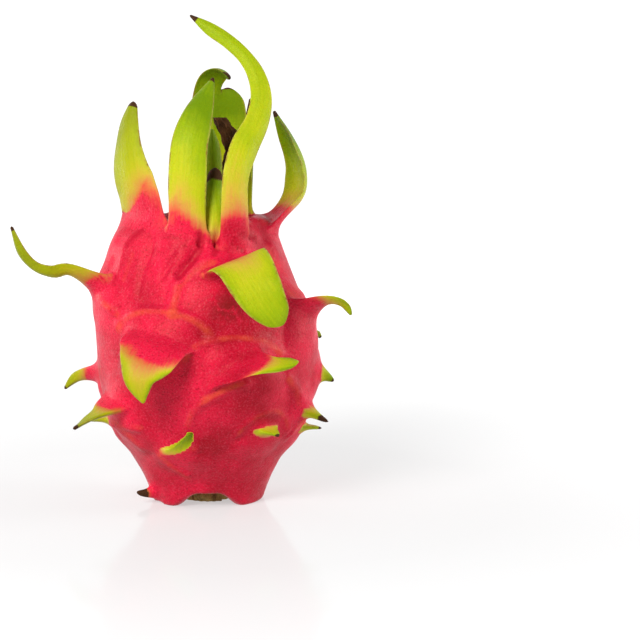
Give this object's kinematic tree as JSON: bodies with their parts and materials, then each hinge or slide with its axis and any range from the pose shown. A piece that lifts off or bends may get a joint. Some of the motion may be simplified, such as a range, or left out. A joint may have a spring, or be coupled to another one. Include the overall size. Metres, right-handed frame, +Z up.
{
  "type": "dragon fruit",
  "caption": "Whole dragon fruit standing on its stem end, with a red scaly rind and a crown of long green-tipped bracts.",
  "frame": {"origin": "middle of the stalk stub's cut end, on the surface that the fruit stands on", "axes": "+Z up, towards the crown; the side that shows best faces -Y, with +X to its right"},
  "size_m": [0.1294, 0.1264, 0.1908],
  "materials": {
    "rind": "waxy",
    "stalk": "rough",
    "dried_flower": "dry"
  },
  "bodies": {
    "root": {"fruit": "rind", "stem_stub": "stalk", "flower_remnant": "dried_flower"}
  },
  "joints": []
}
